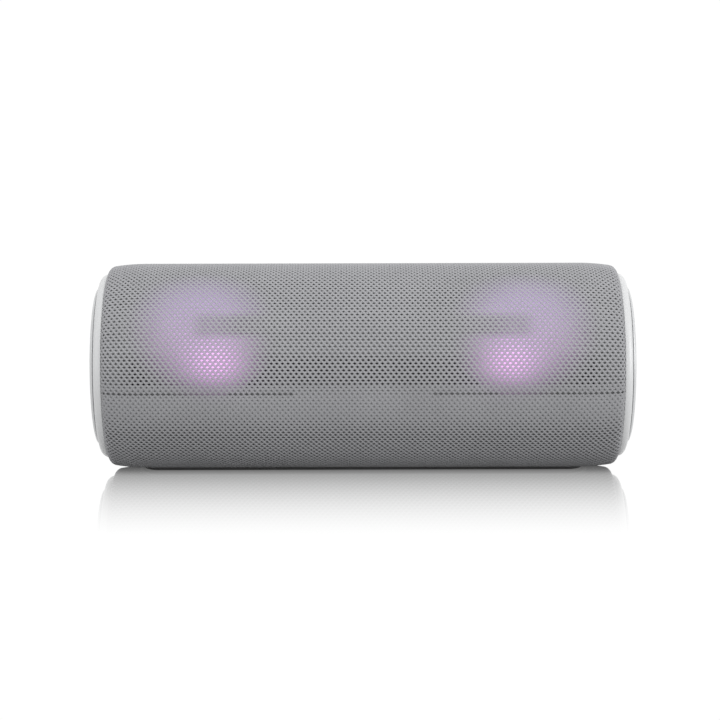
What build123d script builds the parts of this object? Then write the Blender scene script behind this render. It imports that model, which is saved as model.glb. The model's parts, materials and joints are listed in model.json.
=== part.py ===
from build123d import *
import os
from math import asin, cos, radians, sin

# A cylindrical fabric speaker that lies on its side. The length runs along X, the front faces -Y.
# Every round piece is centred on the core axis, which runs along X at height axis_z.

# Body
fabric_radius = 45.0
foot_proud = 1.0
axis_z = fabric_radius + foot_proud
fabric_thickness = 1.2
shell_thickness = 2.4
shell_radius = fabric_radius - fabric_thickness
cavity_radius = shell_radius - shell_thickness
seam_z = axis_z - 5.5
foot_half_length = 97.5
foot_half_width = 7.0

# Rounded ends, as distances from the middle of the length
fabric_end_x = 111.4
edge_start_x = 95.0
edge_radius = 3.2
edge_lean = 8.66
tuck_radius = 39.0
ring_end_x = 115.0
ring_bore_radius = 35.6
plate_end_x = 117.0
plate_radius = 35.0
mouth_radius = 37.6
shell_end_x = fabric_end_x - fabric_thickness

# Passive radiators
ledge_x = 98.0
ledge_thickness = 2.0
ledge_bore_radius = 30.0
frame_x = ledge_x + ledge_thickness
frame_thickness = 3.0
frame_bore_radius = 29.0
surround_x = frame_x + frame_thickness
radiator_screw_circle = 34.8
hub_radius = 23.0
hub_bore_radius = 19.5

# Drivers, which tilt up from the front
tilt = 36.0
driver_x = 69.0
baffle_front = 26.4
baffle_thickness = 2.4
baffle_half_width = 31.6
driver_hole_radius = 17.5
flange_radius = 20.5
flange_thickness = 1.2
driver_screw_circle = 18.9
light_opening_radius = 27.6
guide_inner_radius = 21.0
guide_outer_radius = 27.0
guide_gap = 11.0
lamp_height = 0.6
led_board_thickness = 1.2

# Sound slots along the lower front
slot_angle = 7.5
slot_height = 13.7
slot_length = 20.4
slot_pitch = 22.0

# Controls on the upper back
control_angle = 118.0
panel_length = 104.0
panel_width = 18.0
panel_radius = 45.2
button_names = ("power", "pair", "volume_down", "play", "volume_up", "voice", "light")
button_pitch = 13.5
button_radius = 4.0
button_hole_radius = 4.1
button_top = 45.7
button_flange_top = 40.9
board_under_buttons = 35.7
switch_top = 38.1
microphone_x = 46.75
pipe_offset = 6.0

# Ports on the lower back
port_angle = 205.0
pocket_length = 45.2
pocket_height = 16.2
pocket_floor = 37.0
tray_wall = 1.4
socket_front = 38.5
port_board_top = 25.2
flap_length = 49.0
flap_height = 19.6
flap_inner_radius = 44.05
flap_pivot_radius = 44.5
flap_roll_radius = 0.43
socket_offset = 10.0
jack_bore_radius = 1.8

# Inner parts
cell_radius = 9.2
cell_length = 65.0
cell_rows = ((-13.0, -24.0), (6.5, -24.0))
main_board_y = 24.0
board_thickness = 1.6
standoffs = ((-36.0, 4.0, 16.0), (36.0, 4.0, 16.0), (-36.0, 20.0, 11.0), (36.0, 20.0, 11.0))
boss_places = ((-88.0, 38.4), (-40.0, 38.4), (40.0, 38.4), (88.0, 38.4))
boss_drop = 12.0

core_axis = Axis((0, 0, axis_z), (1, 0, 0))
section_plane = Plane(origin=(0, 0, axis_z), x_dir=(0, 1, 0), z_dir=(1, 0, 0))
back_plane = Plane(origin=(0, main_board_y + board_thickness, axis_z), x_dir=(-1, 0, 0), z_dir=(0, 1, 0))


def facing_plane(angle, distance, x=0.0):
    # A plane that faces out from the core axis. The angle is 0 at the front and 90 at the top.
    direction = Vector(0, -cos(radians(angle)), sin(radians(angle)))
    return Plane(origin=Vector(x, 0, axis_z) + direction * distance, x_dir=(1, 0, 0), z_dir=direction)


def end_plane(side, distance):
    # A plane across the length that faces out of the right end (side 1) or the left end (side -1).
    return Plane(origin=(side * distance, 0, axis_z), x_dir=(0, 1, 0), z_dir=(side, 0, 0))


def outline_plane(side):
    # Holds outlines of round end pieces: x is the distance from the middle, y is the radius.
    return Plane(origin=(0, 0, axis_z), x_dir=(side, 0, 0), z_dir=(0, -side, 0))


def driver_plane(side, depth=0.0):
    # Faces out along a driver's axis, from depth in front of the baffle.
    return facing_plane(tilt, baffle_front + depth, side * driver_x)


def driver_outline_plane(side):
    # Holds outlines of round driver pieces: x is the radius, y is the depth in front of the baffle.
    place = driver_plane(side)
    return Plane(origin=place.origin, x_dir=(1, 0, 0), z_dir=Vector(1, 0, 0).cross(place.z_dir))


def driver_axis(side):
    place = driver_plane(side)
    return Axis(place.origin, place.z_dir)


def draw_skin(inset, inner_radius):
    # The right half of the body's outline, moved in by inset, and closed along inner_radius.
    edge_run = fabric_end_x - edge_start_x - edge_radius
    lean_radius = edge_run / sin(radians(edge_lean)) + edge_radius
    top = Line((0, fabric_radius - inset), (edge_start_x, fabric_radius - inset))
    lean = JernArc(top @ 1, (1, 0), lean_radius - inset, -edge_lean)
    edge = JernArc(lean @ 1, lean % 1, edge_radius - inset, edge_lean - 90)
    Polyline(edge @ 1, ((edge @ 1).X, inner_radius), (0, inner_radius), top @ 0)


def draw_light_ring(side, inner_radius, outer_radius):
    # A ring round the driver, open towards the middle of the length.
    Circle(outer_radius)
    Circle(inner_radius, mode=Mode.SUBTRACT)
    with Locations((-side * outer_radius, 0)):
        Rectangle(2 * (outer_radius - inner_radius + 4), guide_gap, mode=Mode.SUBTRACT)


def screw_part(places, head_radius, head_height, shank_radius, shank_length):
    # One screw on each plane: the plane is under the head and faces out of the hole.
    with BuildPart() as screws:
        for place in places:
            with BuildSketch(place):
                Circle(head_radius)
            extrude(amount=head_height)
            with BuildSketch(place):
                Circle(shank_radius)
            extrude(amount=-shank_length)
            with BuildSketch(place.offset(head_height)):
                Rectangle(1.6 * head_radius, 0.4)
                Rectangle(0.4, 1.6 * head_radius)
            extrude(amount=-0.5 * head_height, mode=Mode.SUBTRACT)
    return screws


def circle_of_places(place, circle_radius):
    # Four planes spread round a circle on the given plane.
    spread = PolarLocations(circle_radius, 4, start_angle=45)
    return [Plane(place.location * spot) for spot in spread.local_locations]


def save(piece, name):
    piece.part.label = name
    export_step(piece.part, f"parts/{name}.step")


os.makedirs("parts", exist_ok=True)
hands = ((-1, "left"), (1, "right"))

# Fabric sleeve: one layer of mesh, rolled over both ends and tucked in behind the end rings.
with BuildPart() as fabric_sleeve:
    with BuildSketch(outline_plane(1)):
        with BuildLine():
            draw_skin(0, tuck_radius)
        make_face()
        with BuildLine():
            draw_skin(fabric_thickness, tuck_radius - 1)
        make_face(mode=Mode.SUBTRACT)
    revolve(axis=core_axis)
    mirror(about=Plane.YZ)
    with BuildSketch(facing_plane(control_angle, 0)):
        SlotOverall(panel_length + 0.4, panel_width + 0.4)
    extrude(amount=60, mode=Mode.SUBTRACT)
    with BuildSketch(facing_plane(port_angle, 0)):
        RectangleRounded(flap_length + 1.2, flap_height + 1.2, 3.4)
    extrude(amount=60, mode=Mode.SUBTRACT)
    with BuildSketch(Plane.XY):
        SlotOverall(2 * foot_half_length + 0.2, 2 * foot_half_width + 0.2)
    extrude(amount=20, mode=Mode.SUBTRACT)
save(fabric_sleeve, "fabric_sleeve")

# The casing, before it is parted along the seam.
with BuildPart() as casing:
    with BuildSketch(outline_plane(1)):
        with BuildLine():
            draw_skin(fabric_thickness, 0)
        make_face()
    revolve(axis=core_axis)
    mirror(about=Plane.YZ)
    # Main chamber between the two end ledges
    with BuildSketch(section_plane):
        Circle(cavity_radius)
    extrude(amount=ledge_x, both=True, mode=Mode.SUBTRACT)
    for side, hand in hands:
        # Ledge bore, then the well that takes the radiator and the end ring
        with BuildSketch(end_plane(side, ledge_x - 1)):
            Circle(ledge_bore_radius)
        extrude(amount=20, mode=Mode.SUBTRACT)
        with BuildSketch(end_plane(side, frame_x)):
            Circle(mouth_radius)
        extrude(amount=20, mode=Mode.SUBTRACT)
        # Pilot holes for the radiator's screws
        with BuildSketch(end_plane(side, ledge_x)):
            with PolarLocations(radiator_screw_circle, 4, start_angle=45):
                Circle(0.8)
        extrude(amount=ledge_thickness, mode=Mode.SUBTRACT)
    # Rails behind the baffle panel, one along each long edge
    rail_plane = facing_plane(tilt, baffle_front - baffle_thickness - 1.1)
    with BuildSketch(section_plane):
        for edge in (1, -1):
            rail = rail_plane.from_local_coords((0, 31 * edge, 0))
            with Locations((rail.Y, rail.Z - axis_z)):
                Rectangle(2.2, 8, rotation=180 - tilt)
        Circle(cavity_radius + 0.5, mode=Mode.INTERSECT)
    extrude(amount=ledge_x, both=True)
    # Screw bosses along the rear wall, cut in two by the seam
    with BuildSketch(Plane.XY.offset(axis_z - boss_drop)):
        with Locations(*boss_places):
            Circle(3.4)
    extrude(amount=boss_drop + 6)
    with BuildSketch(Plane.XY.offset(axis_z - boss_drop)):
        with Locations(*boss_places):
            Circle(1.1)
    extrude(amount=boss_drop + 4, mode=Mode.SUBTRACT)
    with BuildSketch(Plane.XY.offset(axis_z - boss_drop)):
        with Locations(*boss_places):
            Circle(2.5)
    extrude(amount=-boss_drop, mode=Mode.SUBTRACT)

with BuildPart() as upper_shell:
    add(casing.part)
    with BuildSketch(Plane.XY.offset(seam_z)):
        Rectangle(3 * plate_end_x, 3 * fabric_radius)
    extrude(amount=-axis_z, mode=Mode.SUBTRACT)
    # Standoffs for the main board
    for place_x, place_z, reach in standoffs:
        with BuildSketch(back_plane):
            with Locations((-place_x, place_z)):
                Circle(2.4)
        extrude(amount=reach)
        with BuildSketch(back_plane):
            with Locations((-place_x, place_z)):
                Circle(0.8)
        extrude(amount=6, mode=Mode.SUBTRACT)
    # Standoffs for the control board
    with BuildSketch(facing_plane(control_angle, board_under_buttons)):
        with GridLocations(105, 1, 2, 1):
            Circle(2.2)
    extrude(amount=6.2)
    with BuildSketch(facing_plane(control_angle, board_under_buttons)):
        with GridLocations(105, 1, 2, 1):
            Circle(0.8)
    extrude(amount=4, mode=Mode.SUBTRACT)
    # Openings over the drivers and their lights
    for side, hand in hands:
        with BuildSketch(driver_plane(side)):
            Circle(light_opening_radius)
        extrude(amount=30, mode=Mode.SUBTRACT)
    # A row of sound slots
    with BuildSketch(facing_plane(slot_angle, 30)):
        with GridLocations(slot_pitch, 1, 9, 1):
            RectangleRounded(slot_length, slot_height, 1.5)
    extrude(amount=20, mode=Mode.SUBTRACT)
    # Holes for the buttons, the status light and the microphones
    with BuildSketch(facing_plane(control_angle, 40)):
        with GridLocations(button_pitch, 1, len(button_names), 1):
            Circle(button_hole_radius)
        with Locations((0, pipe_offset)):
            Circle(0.8)
        with Locations((-microphone_x, 0), (microphone_x, 0)):
            Circle(0.6)
    extrude(amount=10, mode=Mode.SUBTRACT)
save(upper_shell, "upper_shell")

with BuildPart() as lower_shell:
    add(casing.part)
    with BuildSketch(Plane.XY.offset(seam_z)):
        Rectangle(3 * plate_end_x, 3 * fabric_radius)
    extrude(amount=2 * fabric_radius, mode=Mode.SUBTRACT)
    # Opening for the ports
    with BuildSketch(facing_plane(port_angle, 30)):
        RectangleRounded(pocket_length, pocket_height, 2.2)
    extrude(amount=20, mode=Mode.SUBTRACT)
save(lower_shell, "lower_shell")

shell_screw_places = [
    Plane(origin=(x, y, axis_z - boss_drop), x_dir=(1, 0, 0), z_dir=(0, 0, -1)) for x, y in boss_places
]
save(screw_part(shell_screw_places, 2.4, 1.6, 1.1, boss_drop + 3), "shell_screws")

# Baffle panel: closes the chamber and carries both drivers.
with BuildPart() as baffle_panel:
    with BuildSketch(facing_plane(tilt, baffle_front)):
        Rectangle(2 * ledge_x - 0.2, 2 * baffle_half_width)
        for side, hand in hands:
            with Locations((side * driver_x, 0)):
                Circle(driver_hole_radius, mode=Mode.SUBTRACT)
                with PolarLocations(driver_screw_circle, 4, start_angle=45):
                    Circle(0.8, mode=Mode.SUBTRACT)
    extrude(amount=-baffle_thickness)
save(baffle_panel, "baffle_panel")

# Foot: a soft strip along the underside, flat below and round above.
with BuildPart() as base_foot:
    with BuildSketch(Plane.XY):
        SlotOverall(2 * foot_half_length, 2 * foot_half_width)
    extrude(amount=6)
    fillet(base_foot.faces().sort_by(Axis.Z)[0].edges(), 0.4)
    with BuildSketch(section_plane):
        Circle(shell_radius)
    extrude(amount=110, both=True, mode=Mode.SUBTRACT)
save(base_foot, "base_foot")

radiator_screw_places = []
driver_screw_places = []
for side, hand in hands:
    # End ring: a trim that plugs into the casing's mouth and pins down the fabric's edge.
    with BuildPart() as end_ring:
        with BuildSketch(outline_plane(side)):
            with BuildLine():
                Polyline(
                    (ring_end_x - 0.4, ring_bore_radius),
                    (surround_x + 2, ring_bore_radius),
                    (surround_x + 2, mouth_radius - 0.1),
                    (shell_end_x, mouth_radius - 0.1),
                    (shell_end_x, tuck_radius - 0.1),
                    (fabric_end_x, tuck_radius - 0.1),
                    (fabric_end_x, 40.5),
                )
                ThreePointArc((fabric_end_x, 40.5), (114.0, 39.4), (ring_end_x, 37.2))
                Line((ring_end_x, 37.2), (ring_end_x, ring_bore_radius + 0.4))
                Line((ring_end_x, ring_bore_radius + 0.4), (ring_end_x - 0.4, ring_bore_radius))
            make_face()
        revolve(axis=core_axis)
    save(end_ring, f"{hand}_end_ring")

    # Radiator frame: screwed to the ledge from outside.
    with BuildPart() as radiator_frame:
        with BuildSketch(end_plane(side, frame_x)):
            Circle(mouth_radius - 0.1)
            Circle(frame_bore_radius, mode=Mode.SUBTRACT)
            with PolarLocations(radiator_screw_circle, 4, start_angle=45):
                Circle(1.0, mode=Mode.SUBTRACT)
        extrude(amount=frame_thickness)
    save(radiator_frame, f"{hand}_radiator_frame")

    # Radiator surround: a rubber half roll between the frame and the hub's flange.
    with BuildPart() as radiator_surround:
        with BuildSketch(outline_plane(side)):
            with BuildLine():
                Polyline(
                    (surround_x, 30.8),
                    (surround_x, 33.0),
                    (surround_x + 0.6, 33.0),
                    (surround_x + 0.6, 31.4),
                )
                ThreePointArc(
                    (surround_x + 0.6, 31.4),
                    (surround_x + 3.6, 28.4),
                    (surround_x + 0.6, 25.4),
                )
                Polyline(
                    (surround_x + 0.6, 25.4),
                    (surround_x + 0.6, hub_radius),
                    (surround_x, hub_radius),
                    (surround_x, 26.0),
                )
                ThreePointArc((surround_x, 26.0), (surround_x + 2.4, 28.4), (surround_x, 30.8))
            make_face()
        revolve(axis=core_axis)
    save(radiator_surround, f"{hand}_radiator_surround")

    # Radiator plate: the disc that shows, on a hollow hub with a small flange.
    with BuildPart() as radiator_plate:
        with BuildSketch(outline_plane(side)):
            with BuildLine():
                Polyline(
                    (plate_end_x - 3.6, 0),
                    (plate_end_x - 3.6, hub_bore_radius),
                    (surround_x - 1.8, hub_bore_radius),
                    (surround_x - 1.8, hub_radius + 2.2),
                    (surround_x, hub_radius + 2.2),
                    (surround_x, hub_radius),
                    (plate_end_x - 3, hub_radius),
                    (plate_end_x - 3, plate_radius - 0.4),
                    (plate_end_x - 2.6, plate_radius),
                    (plate_end_x - 0.8, plate_radius),
                )
                JernArc((plate_end_x - 0.8, plate_radius), (1, 0), 0.8, -90)
                Polyline(
                    (plate_end_x, plate_radius - 0.8),
                    (plate_end_x, 31.0),
                    (plate_end_x - 0.6, 29.6),
                    (plate_end_x - 0.6, 0),
                    (plate_end_x - 3.6, 0),
                )
            make_face()
        revolve(axis=core_axis)
    save(radiator_plate, f"{hand}_radiator_plate")

    # Radiator weight: a steel disc inside the hub.
    with BuildPart() as radiator_weight:
        with BuildSketch(end_plane(side, frame_x + 2)):
            Circle(hub_bore_radius)
        extrude(amount=4)
    save(radiator_weight, f"{hand}_radiator_weight")
    radiator_screw_places += circle_of_places(end_plane(side, surround_x), radiator_screw_circle)

    # Driver basket: a flange, an open conical wall and a ring that holds the magnet.
    with BuildPart() as driver_basket:
        with BuildSketch(driver_outline_plane(side)):
            with BuildLine():
                Polyline(
                    (16.2, flange_thickness),
                    (flange_radius, flange_thickness),
                    (flange_radius, 0),
                    (17.3, 0),
                    (14.0, -9),
                    (14.0, -10),
                    (7.6, -10),
                    (7.6, -9),
                    (13.0, -9),
                    (16.2, -0.2),
                    close=True,
                )
            make_face()
        revolve(axis=driver_axis(side))
        with BuildSketch(driver_plane(side, -7.6)):
            Rectangle(40, 9)
            Rectangle(9, 40)
        extrude(amount=4.6, mode=Mode.SUBTRACT)
        with BuildSketch(driver_plane(side)):
            with PolarLocations(driver_screw_circle, 4, start_angle=45):
                Circle(1.0)
        extrude(amount=flange_thickness, mode=Mode.SUBTRACT)
    save(driver_basket, f"{hand}_driver_basket")

    # Driver magnet: a ring between the two halves of the yoke.
    with BuildPart() as driver_magnet:
        with BuildSketch(driver_plane(side, -12)):
            Circle(14.0)
            Circle(8.5, mode=Mode.SUBTRACT)
        extrude(amount=-5.5)
    save(driver_magnet, f"{hand}_driver_magnet")

    # Driver yoke: the top plate, and the back plate with the pole.
    with BuildPart() as driver_yoke:
        with BuildSketch(driver_plane(side, -12)):
            Circle(13.5)
            Circle(7.0, mode=Mode.SUBTRACT)
        extrude(amount=2)
        with BuildSketch(driver_plane(side, -19.5)):
            Circle(13.5)
        extrude(amount=2)
        with BuildSketch(driver_plane(side, -17.5)):
            Circle(6.0)
        extrude(amount=7)
    save(driver_yoke, f"{hand}_driver_yoke")

    # Driver surround: a half roll between the flange and the cone's rim.
    with BuildPart() as driver_surround:
        with BuildSketch(driver_outline_plane(side)):
            with BuildLine():
                Polyline((16.0, 1.2), (17.3, 1.2), (17.3, 1.6), (16.2, 1.6))
                ThreePointArc((16.2, 1.6), (15.0, 2.8), (13.8, 1.6))
                Polyline((13.8, 1.6), (12.9, 1.6), (12.9, 1.2), (14.0, 1.2))
                ThreePointArc((14.0, 1.2), (15.0, 2.2), (16.0, 1.2))
            make_face()
        revolve(axis=driver_axis(side))
    save(driver_surround, f"{hand}_driver_surround")

    # Driver spider: the disc that centres the voice coil.
    with BuildPart() as driver_spider:
        with BuildSketch(driver_plane(side, -8.4)):
            Circle(13.1)
            Circle(6.75, mode=Mode.SUBTRACT)
        extrude(amount=0.4)
    save(driver_spider, f"{hand}_driver_spider")

    # Driver cone, with its domed centre.
    with BuildPart() as driver_cone:
        with BuildSketch(driver_outline_plane(side)):
            with BuildLine():
                Line((0, -2.1), (0, -1.6))
                TangentArc((0, -1.6), (6.9, -3.3), tangent=(1, 0))
                Polyline(
                    (6.9, -3.3),
                    (12.9, 1.2),
                    (13.7, 1.2),
                    (13.7, 0.7),
                    (13.1, 0.7),
                    (6.9, -3.9),
                    (6.3, -3.8),
                )
                TangentArc((0, -2.1), (6.3, -3.8), tangent=(1, 0))
            make_face()
        revolve(axis=driver_axis(side))
    save(driver_cone, f"{hand}_driver_cone")

    # Voice coil: hangs from the cone into the gap of the yoke.
    with BuildPart() as voice_coil:
        with BuildSketch(driver_plane(side, -3.9)):
            Circle(6.7)
            Circle(6.3, mode=Mode.SUBTRACT)
        extrude(amount=-9.1)
    save(voice_coil, f"{hand}_voice_coil")

    # Light board: lamps in an open ring round the driver.
    with BuildPart() as led_board:
        with BuildSketch(driver_plane(side)):
            draw_light_ring(side, guide_inner_radius - 0.2, guide_outer_radius + 0.2)
        extrude(amount=led_board_thickness)
        lamp_start = 30 if side < 0 else 210
        with BuildSketch(driver_plane(side, led_board_thickness)):
            with PolarLocations(24, 11, start_angle=lamp_start, angular_range=300, endpoint=True):
                Rectangle(1.6, 1.6)
        extrude(amount=lamp_height)
    save(led_board, f"{hand}_led_board")

    # Light guide: the clear open ring that makes the C of light.
    with BuildPart() as light_guide:
        with BuildSketch(driver_plane(side, led_board_thickness + lamp_height)):
            draw_light_ring(side, guide_inner_radius, guide_outer_radius)
        extrude(amount=2.4)
    save(light_guide, f"{hand}_light_guide")
    driver_screw_places += circle_of_places(driver_plane(side, flange_thickness), driver_screw_circle)

radiator_screws = screw_part(radiator_screw_places, 1.7, 1.3, 0.8, frame_thickness + ledge_thickness)
save(radiator_screws, "radiator_screws")
driver_screws = screw_part(driver_screw_places, 1.5, 1.0, 0.8, flange_thickness + baffle_thickness)
save(driver_screws, "driver_screws")

# Battery: two cells in a cradle that stands on the lower shell.
with BuildPart() as battery_cells:
    with BuildSketch(section_plane):
        with Locations(*cell_rows):
            Circle(cell_radius)
    extrude(amount=cell_length / 2, both=True)
    fillet(battery_cells.edges().filter_by(GeomType.CIRCLE), 0.6)
save(battery_cells, "battery_cells")

with BuildPart() as battery_cradle:
    with BuildSketch(section_plane):
        with Locations((-3.25, -28.8)):
            Rectangle(40, 12)
        with Locations(*[(y, z) for y, z in cell_rows]):
            Circle(cell_radius + 0.1, mode=Mode.SUBTRACT)
        with Locations((-18.5, -36), (12, -36)):
            Rectangle(2.4, 12)
        Circle(cavity_radius - 0.1, mode=Mode.INTERSECT)
        with Locations(*[(y, z) for y, z in cell_rows]):
            Circle(cell_radius + 0.1, mode=Mode.SUBTRACT)
    extrude(amount=cell_length / 2 + 1.5, both=True)
save(battery_cradle, "battery_cradle")

# Main board with its chips, and the amplifier's heat sink behind it.
with BuildPart() as main_board:
    with BuildSketch(back_plane):
        with Locations((0, 11.5)):
            Rectangle(84, 25)
        for place_x, place_z, reach in standoffs:
            with Locations((-place_x, place_z)):
                Circle(1.0, mode=Mode.SUBTRACT)
    extrude(amount=-board_thickness)
    with BuildSketch(back_plane):
        with Locations((0, 11)):
            Rectangle(12, 12)
    extrude(amount=1)
    with BuildSketch(back_plane.offset(-board_thickness)):
        with Locations((0, 12), (20, 14)):
            Rectangle(10, 10)
        with Locations((-20, 15)):
            Rectangle(16, 11)
        with Locations((-8, 3), (8, 3), (16, 3)):
            Circle(2.4)
    extrude(amount=-2.2)
save(main_board, "main_board")

with BuildPart() as amplifier_heat_sink:
    with BuildSketch(back_plane.offset(1)):
        with Locations((0, 11)):
            Rectangle(30, 16)
    extrude(amount=1.8)
    with BuildSketch(back_plane.offset(2.8)):
        with Locations((0, 11)):
            with GridLocations(4.1, 1, 8, 1):
                Rectangle(1.2, 16)
    extrude(amount=3.6)
save(amplifier_heat_sink, "amplifier_heat_sink")

# Control panel: a strip that follows the body's curve, let into the fabric.
with BuildPart() as control_panel:
    with BuildSketch(facing_plane(control_angle, 30)):
        SlotOverall(panel_length, panel_width)
        with GridLocations(button_pitch, 1, len(button_names), 1):
            Circle(button_hole_radius, mode=Mode.SUBTRACT)
        with Locations((0, pipe_offset)):
            Circle(0.8, mode=Mode.SUBTRACT)
        with Locations((-microphone_x, 0), (microphone_x, 0)):
            Circle(0.6, mode=Mode.SUBTRACT)
    extrude(amount=20)
    with BuildSketch(section_plane):
        Circle(panel_radius)
    extrude(amount=60, both=True, mode=Mode.INTERSECT)
    with BuildSketch(section_plane):
        Circle(shell_radius)
    extrude(amount=60, both=True, mode=Mode.SUBTRACT)
save(control_panel, "control_panel")

with BuildPart() as control_board:
    with BuildSketch(facing_plane(control_angle, board_under_buttons)):
        RectangleRounded(111, 13, 2)
        with GridLocations(105, 1, 2, 1):
            Circle(1.0, mode=Mode.SUBTRACT)
    extrude(amount=-1.2)
    with BuildSketch(facing_plane(control_angle, board_under_buttons)):
        with GridLocations(button_pitch, 1, len(button_names), 1):
            Rectangle(4, 4)
    extrude(amount=switch_top - board_under_buttons)
save(control_board, "control_board")

with BuildPart() as microphones:
    with BuildSketch(facing_plane(control_angle, board_under_buttons)):
        with GridLocations(2 * microphone_x, 1, 2, 1):
            Rectangle(3, 2.4)
    extrude(amount=1.2)
save(microphones, "microphones")

with BuildPart() as status_light_pipe:
    with BuildSketch(facing_plane(control_angle, board_under_buttons + 0.5)):
        with Locations((0, pipe_offset)):
            Circle(0.75)
    extrude(amount=8.8)
save(status_light_pipe, "status_light_pipe")

# Buttons: each has a cap, a flange that stays behind the casing, and a stem over its switch.
button_axis = Axis((0, 0, axis_z), facing_plane(control_angle, 0).z_dir)
for number, name in enumerate(button_names):
    place_x = (number - (len(button_names) - 1) / 2) * button_pitch
    with BuildPart() as button:
        with BuildSketch(facing_plane(control_angle, button_flange_top, place_x)):
            Circle(button_radius)
        extrude(amount=button_top - button_flange_top)
        fillet(button.faces().sort_by(button_axis)[-1].edges(), 0.4)
        with BuildSketch(facing_plane(control_angle, button_flange_top, place_x)):
            Circle(button_radius + 0.9)
        extrude(amount=-0.8)
        with BuildSketch(facing_plane(control_angle, button_flange_top - 0.8, place_x)):
            Circle(1.2)
        extrude(amount=-1.2)
    save(button, f"{name}_button")

board_screw_places = []
for place_x, place_z, reach in standoffs:
    place = Plane(origin=(place_x, main_board_y, axis_z + place_z), x_dir=(1, 0, 0), z_dir=(0, -1, 0))
    board_screw_places.append(place)
for place_x in (-52.5, 52.5):
    under = facing_plane(control_angle, board_under_buttons - 1.2, place_x)
    board_screw_places.append(Plane(origin=under.origin, x_dir=(1, 0, 0), z_dir=-under.z_dir))
save(screw_part(board_screw_places, 1.6, 1.2, 0.8, 4.6), "board_screws")

# Port panel: a shallow tray behind the opening in the lower shell.
with BuildPart() as port_panel:
    with BuildSketch(facing_plane(port_angle, pocket_floor)):
        RectangleRounded(pocket_length + 2 * tray_wall, pocket_height + 2 * tray_wall, 2)
        with Locations((-socket_offset, 0)):
            SlotOverall(9.4, 3.6, mode=Mode.SUBTRACT)
        with Locations((socket_offset, 0)):
            Circle(3.1, mode=Mode.SUBTRACT)
    extrude(amount=-tray_wall)
    with BuildSketch(facing_plane(port_angle, pocket_floor)):
        RectangleRounded(pocket_length + 2 * tray_wall, pocket_height + 2 * tray_wall, 2)
        RectangleRounded(pocket_length, pocket_height, 2.2, mode=Mode.SUBTRACT)
    extrude(amount=3.1)
save(port_panel, "port_panel")

with BuildPart() as port_board:
    with BuildSketch(facing_plane(port_angle, port_board_top)):
        Rectangle(42, 15.5)
    extrude(amount=-1.2)
save(port_board, "port_board")

with BuildPart() as charge_socket:
    with BuildSketch(facing_plane(port_angle, port_board_top, -socket_offset)):
        SlotOverall(9.2, 3.4)
    extrude(amount=socket_front - port_board_top)
    with BuildSketch(facing_plane(port_angle, socket_front, -socket_offset)):
        SlotOverall(8.4, 2.6)
        Rectangle(6.6, 0.7, mode=Mode.SUBTRACT)
    extrude(amount=-7, mode=Mode.SUBTRACT)
save(charge_socket, "charge_socket")

with BuildPart() as aux_socket:
    with BuildSketch(facing_plane(port_angle, port_board_top, socket_offset)):
        Circle(3.0)
    extrude(amount=socket_front - port_board_top)
    with BuildSketch(facing_plane(port_angle, socket_front, socket_offset)):
        Circle(jack_bore_radius)
    extrude(amount=-12, mode=Mode.SUBTRACT)
save(aux_socket, "aux_socket")

# Port flap: soft rubber that follows the body's curve, with a rim that plugs the opening.
with BuildPart() as port_flap:
    with BuildSketch(facing_plane(port_angle, 30)):
        RectangleRounded(flap_length, flap_height, 3)
    extrude(amount=20)
    with BuildSketch(section_plane):
        Circle(fabric_radius)
    extrude(amount=40, both=True, mode=Mode.INTERSECT)
    with BuildSketch(section_plane):
        Circle(flap_inner_radius)
    extrude(amount=40, both=True, mode=Mode.SUBTRACT)
    with BuildSketch(facing_plane(port_angle, 40.9)):
        RectangleRounded(pocket_length - 1.6, pocket_height - 1.6, 2)
        RectangleRounded(pocket_length - 4, pocket_height - 4, 1.2, mode=Mode.SUBTRACT)
    extrude(amount=3.2)
    # Rolled lower edge, on the line the flap bends about
    pivot_angle = radians(port_angle) + asin(flap_height / 2 / flap_pivot_radius)
    with BuildSketch(section_plane):
        with Locations((-flap_pivot_radius * cos(pivot_angle), flap_pivot_radius * sin(pivot_angle))):
            Circle(flap_roll_radius)
    extrude(amount=flap_length / 2 - 3.5, both=True)
save(port_flap, "port_flap")

# Leads between the boards, the drivers and the battery
with BuildPart() as driver_leads:
    for side, hand in hands:
        with BuildLine():
            route = FilletPolyline(
                (side * 34, main_board_y - 2.2, axis_z + 12),
                (side * 34, 10, axis_z + 12),
                (side * 42, -6, axis_z + 11),
                (side * 53, -13.5, axis_z + 9),
                radius=6,
            )
        with BuildSketch(Plane(origin=route @ 0, z_dir=route % 0)):
            Circle(0.9)
        sweep(path=route)
save(driver_leads, "driver_leads")

with BuildPart() as battery_lead:
    with BuildLine():
        route = FilletPolyline(
            (28, main_board_y - 0.1, axis_z + 6),
            (28, 19, axis_z + 6),
            (28, 12, axis_z - 4),
            (28, 6.5, axis_z - 14.5),
            radius=3.5,
        )
    with BuildSketch(Plane(origin=route @ 0, z_dir=route % 0)):
        Circle(0.9)
    sweep(path=route)
save(battery_lead, "battery_lead")
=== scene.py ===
import json
from math import cos, hypot, pi, radians, sin

import bpy
import numpy as np
from mathutils import Matrix, Vector


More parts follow.
